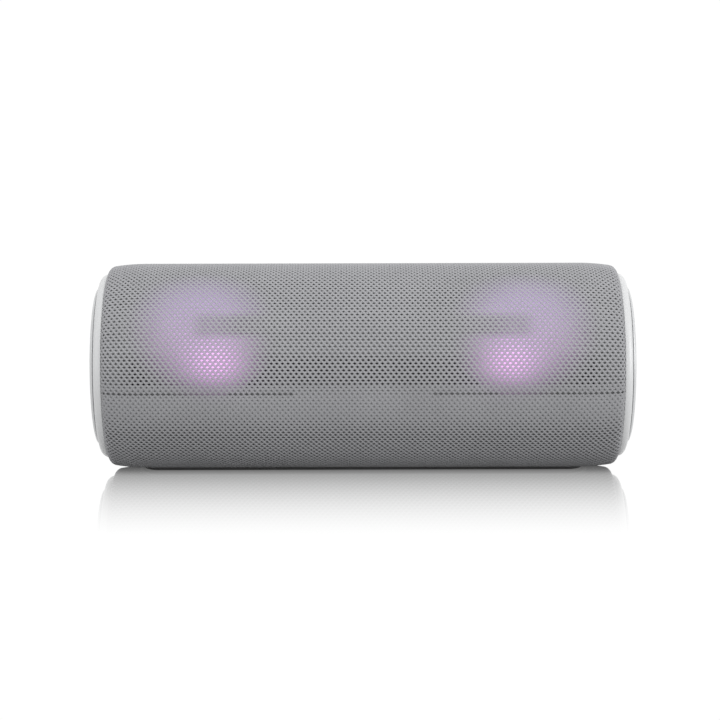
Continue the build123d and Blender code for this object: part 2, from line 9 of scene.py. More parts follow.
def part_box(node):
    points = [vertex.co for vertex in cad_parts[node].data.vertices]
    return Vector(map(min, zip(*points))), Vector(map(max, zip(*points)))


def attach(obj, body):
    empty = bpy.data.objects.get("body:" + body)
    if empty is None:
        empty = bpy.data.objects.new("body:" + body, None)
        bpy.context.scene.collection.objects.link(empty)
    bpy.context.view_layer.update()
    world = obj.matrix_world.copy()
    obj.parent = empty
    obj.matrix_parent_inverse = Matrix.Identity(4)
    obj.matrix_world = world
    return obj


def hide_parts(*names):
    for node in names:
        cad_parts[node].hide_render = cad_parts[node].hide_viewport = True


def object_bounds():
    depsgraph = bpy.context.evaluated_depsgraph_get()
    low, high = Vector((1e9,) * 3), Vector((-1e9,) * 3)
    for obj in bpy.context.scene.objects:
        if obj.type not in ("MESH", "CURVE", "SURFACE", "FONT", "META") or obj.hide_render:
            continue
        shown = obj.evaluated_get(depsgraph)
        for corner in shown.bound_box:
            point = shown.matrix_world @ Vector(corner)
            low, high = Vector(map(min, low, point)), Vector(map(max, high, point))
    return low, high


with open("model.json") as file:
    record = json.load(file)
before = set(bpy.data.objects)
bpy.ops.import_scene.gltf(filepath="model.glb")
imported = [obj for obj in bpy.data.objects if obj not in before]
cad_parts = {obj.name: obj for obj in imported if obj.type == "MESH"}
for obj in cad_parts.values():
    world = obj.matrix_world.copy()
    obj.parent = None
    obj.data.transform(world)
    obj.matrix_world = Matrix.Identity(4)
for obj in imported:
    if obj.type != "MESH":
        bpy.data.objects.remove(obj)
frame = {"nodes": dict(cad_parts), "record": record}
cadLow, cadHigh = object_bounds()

# The speaker lies along X and faces -Y. Angles round the body start at the front and go up over the top.
sleeveLow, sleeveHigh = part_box("fabric_sleeve")
bodyRadius = (sleeveHigh.y - sleeveLow.y) / 2
axisZ = sleeveHigh.z - bodyRadius
sleeveEnd = sleeveHigh.x
ends = ((-1, "left"), (1, "right"))


view = {"turn": 0.0, "height": 12.0, "distance": 0.99, "lens": 112.0, "roll": -0.15,
        "aim": (-0.00128, 0.0, 0.0483)}


def addCamera():
    data = bpy.data.cameras.new("camera")
    data.lens = view["lens"]
    data.sensor_width = 36.0
    data.clip_start = 0.05
    data.clip_end = 30.0
    camera = bpy.data.objects.new("camera", data)
    bpy.context.scene.collection.objects.link(camera)
    turn, height = radians(view["turn"]), radians(view["height"])
    back = Vector((sin(turn) * cos(height), -cos(turn) * cos(height), sin(height)))
    camera.location = Vector(view["aim"]) + back * view["distance"]
    look = (-back).to_track_quat("-Z", "Y").to_matrix()
    camera.rotation_euler = (look @ Matrix.Rotation(radians(view["roll"]), 3, "Z")).to_euler()
    bpy.context.scene.camera = camera


addCamera()
print("stage: camera is placed")


class Wire:  # a node socket that can be used in sums
    def __init__(self, finish, socket):
        self.finish = finish
        self.socket = socket

    def combine(self, operation, *others, swap=False):
        values = (others[0], self) if swap else (self, *others)
        made = self.finish.node("ShaderNodeMath", {"operation": operation}, dict(enumerate(values)))
        return made.out()

    def __add__(self, other):
        return self.combine("ADD", other)

    def __radd__(self, other):
        return self.combine("ADD", other)

    def __sub__(self, other):
        return self.combine("SUBTRACT", other)

    def __rsub__(self, other):
        return self.combine("SUBTRACT", other, swap=True)

    def __mul__(self, other):
        return self.combine("MULTIPLY", other)

    def __truediv__(self, other):
        return self.combine("DIVIDE", other)

    def __pow__(self, other):
        return self.combine("POWER", other)

    def __abs__(self):
        return self.combine("ABSOLUTE")

    def root(self):
        return self.combine("SQRT")

    def wave(self):
        return self.combine("SINE")

    def atLeast(self, other):
        return self.combine("MAXIMUM", other)

    def atMost(self, other):
        return self.combine("MINIMUM", other)

    def rise(self, low, high):  # 0 below low, 1 above high, smooth between
        made = self.finish.node("ShaderNodeMapRange", {"interpolation_type": "SMOOTHSTEP"},
                                {"Value": self, "From Min": low, "From Max": high})
        return made.out("Result")


class Step:  # a node, whose outputs are taken by name
    def __init__(self, finish, made):
        self.finish = finish
        self.made = made

    def out(self, name=0):
        return Wire(self.finish, self.made.outputs[name])


class Finish:  # a material under construction
    def __init__(self, name, tree=None):
        if tree is None:
            self.material = bpy.data.materials.new(name)
            self.material.use_nodes = True
            tree = self.material.node_tree
        self.tree = tree
        self.tree.nodes.clear()

    def node(self, kind, settings=None, inputs=None):
        made = self.tree.nodes.new(kind)
        for key, value in (settings or {}).items():
            setattr(made, key, value)
        for key, value in (inputs or {}).items():
            if isinstance(value, Wire):
                self.tree.links.new(value.socket, made.inputs[key])
            else:
                made.inputs[key].default_value = value
        return Step(self, made)

    def place(self):  # where a point is, in metres
        return self.node("ShaderNodeTexCoord").out("Object")

    def parts(self, vector):
        split = self.node("ShaderNodeSeparateXYZ", None, {0: vector})
        return split.out("X"), split.out("Y"), split.out("Z")

    def noise(self, scale, detail=3.0, stretch=(1, 1, 1), rough=0.5):
        moved = self.node("ShaderNodeMapping", None, {"Vector": self.place(), "Scale": stretch}).out()
        made = self.node("ShaderNodeTexNoise", None,
                         {"Vector": moved, "Scale": scale, "Detail": detail, "Roughness": rough})
        return made.out(0)

    def blend(self, factor, low, high):  # a colour between two colours
        made = self.node("ShaderNodeMix", {"data_type": "RGBA"}, {0: factor, 6: low, 7: high})
        return made.out(2)

    def bump(self, height, strength, distance):
        return self.node("ShaderNodeBump", None,
                         {"Height": height, "Strength": strength, "Distance": distance}).out()

    def shader(self, inputs):
        made = self.node("ShaderNodeBsdfPrincipled", None, inputs)
        end = self.node("ShaderNodeOutputMaterial")
        self.tree.links.new(made.made.outputs[0], end.made.inputs["Surface"])
        return self.material


def colour(value, tint=(1.0, 1.0, 1.0)):
    return (value * tint[0], value * tint[1], value * tint[2], 1.0)


# The C of light on the front, and the strips of painted shade that run along the front, by height from the
# axis
glow = {"middleX": 0.069, "tilt": 36.0, "full": 0.009, "gone": 0.0335, "slotUp": -0.001,
        "slotFull": 0.0025, "slotGone": 0.0075, "slotEnd": (-0.002, 0.006), "slotThin": (-0.018, -0.002),
        "spot": (-0.0074, -0.0190), "spotLong": 0.0125, "spotTall": 0.0088, "ringShare": 0.44,
        "spotShare": 0.56, "pinkTo": 0.016}
bands = {"front": (-0.030, -0.020), "slotLow": (-0.0020, -0.0002), "slotHigh": (0.0118, 0.0150),
         "slotEnd": (0.100, 0.106), "denseLow": (-0.0240, -0.0120), "denseHigh": (-0.0010, 0.0040)}


def frontBand(finish, low, high):
    # 1 on a strip of the front between two heights, fading out at its edges
    y, z = finish.parts(finish.place())[1:]
    strip = z.rise(axisZ + low[0], axisZ + low[1]) * (1.0 - z.rise(axisZ + high[0], axisZ + high[1]))
    return strip * (1.0 - y.rise(*bands["front"]))


def slotShade(finish):
    # Painted shade on the strip of casing along the sound slot openings, dark because little light comes back
    # out of it
    x = finish.parts(finish.place())[0]
    return frontBand(finish, bands["slotLow"], bands["slotHigh"]) * (1.0 - abs(x).rise(*bands["slotEnd"]))


def lightPattern(finish):
    # How bright the light is behind each point of the front, and where it turns from violet to pink
    x, y, z = finish.parts(finish.place())
    turn = (z - axisZ).combine("ARCTAN2", 0.0 - y)
    up = (turn - radians(glow["tilt"])) * bodyRadius
    out = abs(x) - glow["middleX"]
    reach = (out * out + up * up).root()
    band = 1.0 - reach.rise(glow["full"], glow["gone"])
    inSlot = 1.0 - abs(up - glow["slotUp"]).rise(glow["slotFull"], glow["slotGone"])
    inSlot = inSlot * (1.0 - out.rise(*glow["slotEnd"]))
    inSlot = inSlot * (0.85 - out.rise(*glow["slotThin"]) * 0.3)
    aside, above = out - glow["spot"][0], up - glow["spot"][1]
    fromSpot = aside * aside / glow["spotLong"] ** 2 + above * above / glow["spotTall"] ** 2
    spot = (0.0 - fromSpot).combine("EXPONENT")
    mask = band * (1.0 - inSlot) * glow["ringShare"] + spot * (1.0 - inSlot) * glow["spotShare"]
    pink = (1.0 - up.rise(-glow["pinkTo"], glow["pinkTo"])) * 0.6 + spot * 0.4
    return mask, pink


def wovenYarn():
    finish = Finish("wovenYarn")
    strand = finish.node("ShaderNodeUVMap", {"uv_map": "strand"}).out()
    along, across = finish.parts(strand)[:2]
    twist = ((along * 2.0 + across * 0.45) * (2 * pi)).wave() * 0.5 + 0.5
    fibres = finish.noise(2600.0, 3.0, rough=0.6)
    cloudy = finish.noise(38.0, 2.0)
    dense = frontBand(finish, bands["denseLow"], bands["denseHigh"])
    # painted shade: the strands get darker towards their edges, where they dip into the holes
    shade = 0.76 + twist * 0.14 + fibres * 0.22 - abs(across) * 0.14 + (cloudy - 0.5) * 0.10
    # painted shade: the yarn is made darker along the dense band low on the front
    shade = shade - dense * 0.05
    tone = finish.blend(shade.rise(0.45, 1.2), colour(0.13, (0.985, 0.99, 1.03)),
                        colour(0.385, (0.985, 0.99, 1.03)))
    # painted glow: the C of light from behind is painted on the yarn as emission
    mask, pink = lightPattern(finish)
    hue = finish.blend(pink, (0.58, 0.28, 1.0, 1), (0.86, 0.28, 1.0, 1))
    lit = finish.blend(mask.atMost(1.0), (0, 0, 0, 1), hue)
    relief = twist * 0.6 + fibres * 0.5 + (1.0 - across * across) * 0.8
    return finish.shader({"Base Color": tone, "Roughness": 0.86, "Specular IOR Level": 0.25,
                          "Sheen Weight": 0.12, "Sheen Roughness": 0.5,
                          "Emission Color": lit, "Emission Strength": 0.24,
                          "Normal": finish.bump(relief, 0.55, 0.00012)})


def fusedHem():
    finish = Finish("fusedHem")
    grain = finish.noise(1500.0, 4.0)
    wide = finish.noise(90.0, 2.0)
    tone = finish.blend(grain * 0.6 + wide * 0.4, colour(0.20), colour(0.31, (0.985, 0.99, 1.03)))
    return finish.shader({"Base Color": tone, "Roughness": grain * 0.2 + 0.6,
                          "Normal": finish.bump(grain, 0.35, 0.00008)})


def lightFilm():
    finish = Finish("lightFilm")
    # painted glow: the C of light from behind is painted on the film as emission
    mask, pink = lightPattern(finish)
    hue = finish.blend(pink, (0.78, 0.55, 1.0, 1), (0.95, 0.50, 1.0, 1))
    lit = finish.blend(mask.atMost(1.0), (0, 0, 0, 1), hue)
    grain = finish.noise(900.0, 3.0)
    tone = finish.blend(grain, colour(0.13), colour(0.17))
    # painted shade: darker along the band of sound slot openings, as on the casing
    tone = finish.blend(slotShade(finish), tone, colour(0.045))
    return finish.shader({"Base Color": tone, "Roughness": 0.5 + grain * 0.2,
                          "Emission Color": lit, "Emission Strength": 1.45,
                          "Normal": finish.bump(grain, 0.2, 0.00005)})


def mouldedPlastic(name, light, tint=(1, 1, 1), rough=0.45, grainSize=1400.0, depth=0.00004, gloss=0.0,
                   paintSlotShade=False):
    finish = Finish(name)
    grain = finish.noise(grainSize, 4.0, rough=0.6)
    wide = finish.noise(22.0, 3.0)
    worn = finish.noise(160.0, 5.0, rough=0.7)
    tone = finish.blend(wide * 0.6 + grain * 0.4, colour(light * 0.93, tint),
                        colour(min(light * 1.05, 0.95), tint))
    if paintSlotShade:
        # painted shade: darker along the band of sound slot openings
        tone = finish.blend(slotShade(finish), tone, colour(light * 0.28, tint))
    return finish.shader({"Base Color": tone, "Roughness": worn * 0.16 + (rough - 0.08),
                          "Coat Weight": gloss, "Coat Roughness": 0.08,
                          "Normal": finish.bump(grain, 0.30, depth)})


def softRubber(name, light, tint=(1, 1, 1), rough=0.7):
    finish = Finish(name)
    grain = finish.noise(2200.0, 3.0)
    dust = finish.noise(120.0, 6.0, rough=0.75)
    tone = finish.blend(dust.rise(0.35, 0.75), colour(light, tint), colour(light * 1.22 + 0.008, tint))
    return finish.shader({"Base Color": tone, "Roughness": dust * 0.18 + (rough - 0.05),
                          "Specular IOR Level": 0.4, "Normal": finish.bump(grain, 0.35, 0.00005)})


def spunMetal(name, light, tint=(1, 1, 1), rough=0.32, stretch=(1, 1, 40)):
    finish = Finish(name)
    lines = finish.noise(240.0, 4.0, stretch)
    smear = finish.noise(60.0, 4.0)
    tone = finish.blend(lines, colour(light * 0.82, tint), colour(light, tint))
    return finish.shader({"Base Color": tone, "Metallic": 1.0,
                          "Roughness": lines * 0.14 + smear * 0.12 + (rough - 0.1),
                          "Normal": finish.bump(lines, 0.15, 0.00003)})


def turnedPlate():
    # Fine rings round the long axis, as a lathe leaves them
    finish = Finish("turnedPlate")
    y, z = finish.parts(finish.place())[1:]
    away = (y * y + (z - axisZ) ** 2.0).root()
    rings = (away * (2 * pi / 0.00042)).wave() * 0.5 + 0.5
    centre = 1.0 - away.rise(0.0290, 0.0296)
    streak = finish.noise(700.0, 3.0)
    smear = finish.noise(45.0, 4.0)
    tone = finish.blend(rings * centre * 0.5 + streak * 0.4, colour(0.50, (0.99, 1.0, 1.01)),
                        colour(0.62, (0.99, 1.0, 1.01)))
    return finish.shader({"Base Color": tone, "Roughness": smear * 0.2 + streak * 0.1 + 0.24,
                          "Metallic": 0.25,
                          "Normal": finish.bump(rings * centre + streak * 0.15, 0.5, 0.00003)})


def darkFerrite():
    finish = Finish("darkFerrite")
    specks = finish.node("ShaderNodeTexVoronoi", None, {"Vector": finish.place(), "Scale": 1800.0}).out(0)
    grain = finish.noise(500.0, 5.0)
    tone = finish.blend(specks.rise(0.1, 0.6), colour(0.055), colour(0.025))
    return finish.shader({"Base Color": tone, "Roughness": grain * 0.3 + 0.4,
                          "Normal": finish.bump(grain, 0.4, 0.00008)})


def resinCloth():
    # The spider: a coarse cloth stiffened with resin
    finish = Finish("resinCloth")
    x, y, z = finish.parts(finish.place())
    warp = (x * 9000.0).wave() * 0.5 + 0.5
    weft = ((y * 0.59 + z * 0.81) * 9000.0).wave() * 0.5 + 0.5
    grain = finish.noise(400.0, 3.0)
    tone = finish.blend(warp * weft * 0.7 + grain * 0.3, (0.30, 0.17, 0.06, 1), (0.62, 0.44, 0.20, 1))
    return finish.shader({"Base Color": tone, "Roughness": 0.55 + grain * 0.2,
                          "Normal": finish.bump(warp * weft, 0.6, 0.00012)})


def pressedPaper():
    finish = Finish("pressedPaper")
    fibres = finish.noise(700.0, 6.0, rough=0.75)
    patches = finish.noise(150.0, 3.0)
    tone = finish.blend(fibres * 0.7 + patches * 0.3, colour(0.022), colour(0.085))
    return finish.shader({"Base Color": tone, "Roughness": fibres * 0.2 + 0.65,
                          "Normal": finish.bump(fibres, 0.6, 0.00015)})


def milkyGuide():
    finish = Finish("milkyGuide")
    cloud = finish.noise(180.0, 3.0)
    pink = lightPattern(finish)[1]
    tone = finish.blend(cloud, colour(0.72), colour(0.86))
    y = finish.parts(finish.place())[1]
    hue = finish.blend(pink, (0.60, 0.50, 1.0, 1), (1.0, 0.52, 1.0, 1))
    lit = finish.blend(y.rise(-0.012, 0.0), (0.05, 0.035, 0.08, 1), hue)
    return finish.shader({"Base Color": tone, "Roughness": cloud * 0.15 + 0.18, "Emission Color": lit,
                          "Emission Strength": 1.2, "Normal": finish.bump(cloud, 0.1, 0.00005)})


def circuitBoard():
    finish = Finish("circuitBoard")
    x = finish.parts(finish.place())[0]
    cells = finish.node("ShaderNodeTexVoronoi", {"distance": "CHEBYCHEV", "feature": "DISTANCE_TO_EDGE"},
                        {"Vector": finish.place(), "Scale": 420.0}).out(0)
    tracks = 1.0 - cells.rise(0.04, 0.09)
    lines = ((x * 5200.0).wave() * 0.5 + 0.5).rise(0.62, 0.72)
    copper = tracks.atLeast(lines * finish.noise(60.0, 1.0).rise(0.5, 0.54))
    grain = finish.noise(900.0, 3.0)
    tone = finish.blend(copper, (0.012, 0.075, 0.035, 1), (0.06, 0.21, 0.09, 1))
    return finish.shader({"Base Color": tone, "Roughness": grain * 0.2 + 0.3,
                          "Normal": finish.bump(copper, 0.4, 0.00006)})


def shrinkWrap():
    finish = Finish("shrinkWrap")
    x = finish.parts(finish.place())[0]
    band = abs(x).rise(0.0265, 0.0269)
    crease = finish.noise(120.0, 4.0, (0.3, 1, 1))
    tone = finish.blend(band, (0.05, 0.14, 0.36, 1), (0.72, 0.74, 0.76, 1))
    return finish.shader({"Base Color": tone, "Roughness": crease * 0.2 + 0.22,
                          "Normal": finish.bump(crease, 0.35, 0.0001)})


def woundCopper():
    finish = Finish("woundCopper")
    y, z = finish.parts(finish.place())[1:]
    depth = (z * 0.588 - y * 0.809) * (2 * pi / 0.00022)
    turns = depth.wave() * 0.5 + 0.5
    tone = finish.blend(turns, (0.42, 0.14, 0.05, 1), (0.86, 0.42, 0.20, 1))
    return finish.shader({"Base Color": tone, "Metallic": 1.0, "Roughness": 0.38 - turns * 0.1,
                          "Normal": finish.bump(turns, 0.6, 0.00006)})


slotFinishes = {
    "mesh_fabric": wovenYarn(),
    "casing_plastic": mouldedPlastic("casingPlastic", 0.17, (0.98, 0.99, 1.02), 0.5, paintSlotShade=True),
    "inner_plastic": mouldedPlastic("innerPlastic", 0.05, (1, 1, 1), 0.55, 1100.0),
    "trim_plastic": mouldedPlastic("trimPlastic", 0.54, (0.99, 1.0, 1.01), 0.34, 1800.0, 0.00001, 0.2),
    "plate_plastic": turnedPlate(),
    "soft_rubber": softRubber("softRubber", 0.045),
    "control_rubber": softRubber("controlRubber", 0.20, (0.98, 0.99, 1.02), 0.62),
    "steel": spunMetal("brushedSteel", 0.55, (0.98, 0.99, 1.0)),
    "ferrite": darkFerrite(),
    "spider_cloth": resinCloth(),
    "cone_paper": pressedPaper(),
    "coil_copper": woundCopper(),
    "clear_guide": milkyGuide(),
    "circuit_board": circuitBoard(),
    "cast_aluminium": spunMetal("castAluminium", 0.72, (0.98, 0.99, 1.0), 0.45, (1, 1, 1)),
    "cell_wrap": shrinkWrap(),
    "lead_wrap": softRubber("leadWrap", 0.03, (1, 1, 1), 0.5),
}
hemFinish = fusedHem()
filmFinish = lightFilm()
symbolFinish = mouldedPlastic("symbolInk", 0.72, (1, 1, 1), 0.55, 1600.0, 0.00002)

for part in frame["record"]["subparts"]:
    piece = frame["nodes"][part["node"]]
    piece.data.materials.clear()
    piece.data.materials.append(slotFinishes[part["material_slot"]])
print("stage: finishes are on the CAD nodes")


def startFresh():
    if bpy.context.mode != "OBJECT":
        bpy.ops.object.mode_set(mode="OBJECT")
    bpy.ops.object.select_all(action="DESELECT")


def editAll():
    bpy.ops.object.mode_set(mode="EDIT")
    bpy.ops.mesh.select_all(action="SELECT")


def pickNone(kind):
    bpy.ops.object.mode_set(mode="EDIT")
    bpy.ops.mesh.select_mode(type=kind)
    bpy.ops.mesh.select_all(action="DESELECT")
    bpy.ops.object.mode_set(mode="OBJECT")


def selectEdges(piece, test):
    # Ends in edit mode, with only the edges picked whose two ends pass the test
    pickNone("EDGE")
    corners = piece.data.vertices
    for edge in piece.data.edges:
        edge.select = bool(test(corners[edge.vertices[0]].co, corners[edge.vertices[1]].co))
    bpy.ops.object.mode_set(mode="EDIT")


def selectFaces(piece, test):
    # Ends in edit mode, with only the faces picked whose normal passes the test
    pickNone("FACE")
    for face in piece.data.polygons:
        face.select = bool(test(face.normal))
    bpy.ops.object.mode_set(mode="EDIT")


def settle(piece, name, smoothAngle=35.0):
    # Applies what is left of the object's place, points the faces outwards and smooths them
    startFresh()
    piece.select_set(True)
    bpy.context.view_layer.objects.active = piece
    bpy.ops.object.transform_apply(location=True, rotation=True, scale=True)
    editAll()
    bpy.ops.mesh.remove_doubles(threshold=0.000004)
    bpy.ops.mesh.normals_make_consistent(inside=False)
    bpy.ops.object.mode_set(mode="OBJECT")
    bpy.ops.object.shade_smooth_by_angle(angle=radians(smoothAngle))
    piece.name = name
    piece.data.name = name


def roundEdges(piece, width, segments=3, angle=40.0):
    bevel = piece.modifiers.new("roundEdges", "BEVEL")
    bevel.width = width
    bevel.segments = segments
    bevel.limit_method = "ANGLE"
    bevel.angle_limit = radians(angle)
    bpy.context.view_layer.objects.active = piece
    bpy.ops.object.modifier_apply(modifier=bevel.name)


def turnPiece(outline, steps, closed):
    # A circle about Z drawn out from point to point of an outline of (radius, height)
    startFresh()
    radius, height = outline[0]
    bpy.ops.mesh.primitive_circle_add(vertices=steps, radius=radius, location=(0, 0, height))
    piece = bpy.context.object
    bpy.ops.object.transform_apply(location=True, rotation=True, scale=True)
    editAll()
    for (radius, height), (nextRadius, nextHeight) in zip(outline, outline[1:]):
        bpy.ops.mesh.extrude_edges_move(
            TRANSFORM_OT_translate={"value": (0, 0, nextHeight - height)})
        grow = nextRadius / radius
        bpy.ops.transform.resize(value=(grow, grow, 1), center_override=(0, 0, nextHeight))
    bpy.ops.mesh.select_all(action="SELECT")
    bpy.ops.mesh.remove_doubles(threshold=0.000004)
    if not closed:
        bpy.ops.mesh.fill_holes(sides=steps + 1)
        bpy.ops.mesh.select_all(action="SELECT")
    bpy.ops.mesh.normals_make_consistent(inside=False)
    bpy.ops.object.mode_set(mode="OBJECT")
    return piece


def facing(angle, distance, x=0.0):
    # Stands local Z outwards from the long axis, at an angle round the body
    turn = radians(angle)
    out = Vector((0, -cos(turn), sin(turn)))
    side = Vector((0, sin(turn), cos(turn)))
    spot = Vector((x, 0, axisZ)) + out * distance
    return Matrix(((1, side.x, out.x, spot.x), (0, side.y, out.y, spot.y),
                   (0, side.z, out.z, spot.z), (0, 0, 0, 1)))


def endwards(side):
    # Lays local Z along the long axis, towards one end
    return Matrix.Translation((0, 0, axisZ)) @ Matrix.Rotation(side * pi / 2, 4, "Y")


def wrapOnBody(piece, angle):
    # Rolls a flat piece onto the body: X stays, Y goes round, Z stands out from the fabric's surface
    for corner in piece.data.vertices:
        turn = radians(angle) + corner.co.y / bodyRadius
        reach = bodyRadius + corner.co.z
        corner.co = (corner.co.x, -cos(turn) * reach, axisZ + sin(turn) * reach)
    piece.data.update()


def sliceAcross(piece, half, count):
    # Cuts a flat piece into strips, so that it can be rolled
    bpy.context.view_layer.objects.active = piece
    editAll()
    bpy.ops.mesh.quads_convert_to_tris()
    for number in range(1, count):
        bpy.ops.mesh.select_all(action="SELECT")
        bpy.ops.mesh.bisect(plane_co=(0, half * (2 * number / count - 1), 0), plane_no=(0, 1, 0))
    bpy.ops.object.mode_set(mode="OBJECT")


def joinInto(piece, others):
    startFresh()
    for other in others:
        other.select_set(True)
    piece.select_set(True)
    bpy.context.view_layer.objects.active = piece
    bpy.ops.object.join()


def finishPiece(piece, body, slotName, *stoodFor):
    if not piece.data.materials:
        piece.data.materials.append(slotFinishes[slotName])
    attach(piece, body)
    if stoodFor:
        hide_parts(*stoodFor)


ring = {"bore": 0.0356, "mouth": 0.0375, "tuck": 0.0389, "back": 0.105, "step": 0.1102,
        "faceEdge": 0.0372, "edgeRound": 0.00025, "steps": 160, "curve": 9}


def makeEndRing(side, hand):
    low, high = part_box(hand + "_end_ring")
    endX = max(abs(low.x), abs(high.x))
    outer = (high.y - low.y) / 2
    outline = [(ring["bore"], endX), (ring["bore"], ring["back"]), (ring["mouth"], ring["back"]),
               (ring["mouth"], ring["step"]), (ring["tuck"], ring["step"]), (ring["tuck"], sleeveEnd)]
    for number in range(ring["curve"] + 1):
        turn = pi / 2 * number / ring["curve"]
        outline.append((ring["faceEdge"] + (outer - ring["faceEdge"]) * cos(turn),
                        sleeveEnd + (endX - sleeveEnd) * sin(turn)))
    outline.append(outline[0])
    piece = turnPiece(outline, ring["steps"], True)
    roundEdges(piece, ring["edgeRound"])
    piece.data.transform(endwards(side))
    settle(piece, hand + "_trim_ring")
    finishPiece(piece, "root", "trim_plastic", hand + "_end_ring")


# "face" goes out from the middle by radius and depth, "rimEdge" by distance in from the rim and depth
plate = {"hubBore": 0.0195, "hub": 0.023, "flange": 0.0252, "flangeBack": 0.1012, "flangeFront": 0.103,
         "face": ((0.0004, 0.00055), (0.0100, 0.00055), (0.0102, 0.00067), (0.0108, 0.00067),
                  (0.0110, 0.00055), (0.0296, 0.00055), (0.0312, 0.0)),
         "rim": 0.0349, "rimEdge": ((0.0018, 0.0001), (0.0009, 0.0004), (0.0003, 0.0009), (0.0, 0.0013),
                                    (0.0006, 0.0015), (0.0006, 0.0022), (0.0, 0.0024), (0.0, 0.003)),
         "middle": 0.0004, "skin": 0.003, "hubFloor": 0.0036, "edgeRound": 0.00012, "steps": 160}


def makePlate(side, hand):
    low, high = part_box(hand + "_radiator_plate")
    faceX = max(abs(low.x), abs(high.x))
    outline = [(radius, faceX - deep) for radius, deep in plate["face"]]
    outline += [(plate["rim"] - inward, faceX - deep) for inward, deep in plate["rimEdge"]]
    outline += [(plate["hub"], faceX - plate["skin"]), (plate["hub"], plate["flangeFront"]),
                (plate["flange"], plate["flangeFront"]), (plate["flange"], plate["flangeBack"]),
                (plate["hubBore"], plate["flangeBack"]), (plate["hubBore"], faceX - plate["hubFloor"]),
                (plate["middle"], faceX - plate["hubFloor"])]
    piece = turnPiece(outline, plate["steps"], False)
    roundEdges(piece, plate["edgeRound"], 2, 60.0)
    piece.data.transform(endwards(side))
    settle(piece, hand + "_radiator_disc")
    finishPiece(piece, hand + "_radiator", "plate_plastic", hand + "_radiator_plate")


for side, hand in ends:
    makeEndRing(side, hand)
    makePlate(side, hand)
print("stage: end rings and radiator plates are turned")


strip = {"angle": 118.0, "width": 0.018, "height": 0.0002, "depth": 0.0012, "buttonHole": 0.0041,
         "micHole": 0.0006, "lightHole": 0.0008, "micX": 0.04675, "lightUp": 0.006, "edgeRound": 0.00022}
keys = ("power", "pair", "volume_down", "play", "volume_up", "voice", "light")


def buttonX(name):
    low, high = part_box(name + "_button")
    return (low.x + high.x) / 2


def makeStrip():
    low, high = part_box("control_panel")
    length = high.x - low.x
    top, bottom = strip["height"], -strip["depth"]
    startFresh()
    bpy.ops.mesh.primitive_cube_add(size=1, location=(0, 0, (top + bottom) / 2),
                                    scale=(length, strip["width"], top - bottom))
    piece = bpy.context.object
    bpy.ops.object.transform_apply(location=True, rotation=True, scale=True)
    selectEdges(piece, lambda a, b: abs(a.z - b.z) > 0.0005)
    bpy.ops.mesh.bevel(offset=strip["width"] / 2 - 0.00002, segments=16, affect="EDGES")
    bpy.ops.object.mode_set(mode="OBJECT")
    holes = [(buttonX(name), 0.0, strip["buttonHole"], 48) for name in keys]
    holes += [(strip["micX"], 0.0, strip["micHole"], 20), (-strip["micX"], 0.0, strip["micHole"], 20)]
    holes.append((0.0, strip["lightUp"], strip["lightHole"], 20))
    for x, up, radius, steps in holes:
        bpy.ops.mesh.primitive_cylinder_add(vertices=steps, radius=radius, depth=0.01, location=(x, up, 0))
        drill = bpy.context.object
        cut = piece.modifiers.new("drill", "BOOLEAN")
        cut.object = drill
        cut.operation = "DIFFERENCE"
        cut.solver = "EXACT"
        bpy.context.view_layer.objects.active = piece
        bpy.ops.object.modifier_apply(modifier=cut.name)
        bpy.data.objects.remove(drill, do_unlink=True)
    roundEdges(piece, strip["edgeRound"], 2, 60.0)
    sliceAcross(piece, strip["width"] / 2, 18)
    wrapOnBody(piece, strip["angle"])
    settle(piece, "control_strip", 30.0)
    finishPiece(piece, "root", "control_rubber", "control_panel")


makeStrip()


button = {"radius": 0.004, "top": 0.0457, "shoulder": 0.0409, "flange": 0.0049, "flangeBack": 0.0401,
          "stem": 0.0012, "stemEnd": 0.0389, "edge": 0.0005, "dish": 0.00028, "steps": 64,
          "signDeep": 0.0006, "signBelow": 0.00008, "signRound": 0.00006, "signLine": 0.00036}


def capOutline():
    top, edge, radius = button["top"], button["edge"], button["radius"]
    inner = radius - edge - 0.0002
    outline = [(0.0002, top - button["dish"])]
    for number in range(1, 7):  # the dish in the top
        away = inner * number / 6
        outline.append((away, top - button["dish"] * (1 - (number / 6) ** 2)))
    for number in range(1, 6):  # the rounded edge
        turn = pi / 2 * number / 5
        outline.append((radius - edge + edge * sin(turn), top - edge + edge * cos(turn)))
    outline += [(radius, button["shoulder"]), (button["flange"], button["shoulder"]),
                (button["flange"], button["flangeBack"]), (button["stem"], button["flangeBack"]),
                (button["stem"], button["stemEnd"]), (0.0002, button["stemEnd"])]
    return outline


def signLevel():
    return button["top"] - button["signBelow"] - button["signDeep"] / 2


def bar(x, y, length, width, turn=0.0):
    bpy.ops.mesh.primitive_cube_add(size=1, location=(x, y, signLevel()), rotation=(0, 0, radians(turn)),
                                    scale=(length, width, button["signDeep"]))
    made = bpy.context.object
    roundEdges(made, button["signRound"], 2)
    return made


def prism(x, y, radius, corners, turn=0.0):
    bpy.ops.mesh.primitive_cylinder_add(vertices=corners, radius=radius, depth=button["signDeep"],
                                        location=(x, y, signLevel()), rotation=(0, 0, radians(turn)))
    made = bpy.context.object
    roundEdges(made, button["signRound"], 2)
    return made


def bow(x, y, radius, width, start, sweep):
    # A bent bar: one flat end swung round the middle of its arc
    bpy.ops.mesh.primitive_plane_add(size=1, location=(x + radius, y, signLevel()),
                                     rotation=(radians(90), 0, 0))
    made = bpy.context.object
    made.scale = (width, button["signDeep"], 1)
    bpy.ops.object.transform_apply(location=True, rotation=True, scale=True)
    editAll()
    bpy.ops.mesh.spin(steps=20, angle=radians(sweep), center=(x, y, signLevel()), axis=(0, 0, 1))
    bpy.ops.mesh.select_all(action="SELECT")
    bpy.ops.mesh.normals_make_consistent(inside=False)
    bpy.ops.object.mode_set(mode="OBJECT")
    turned = Matrix.Rotation(radians(start), 4, "Z")
    made.data.transform(Matrix.Translation((x, y, 0)) @ turned @ Matrix.Translation((-x, -y, 0)))
    return made


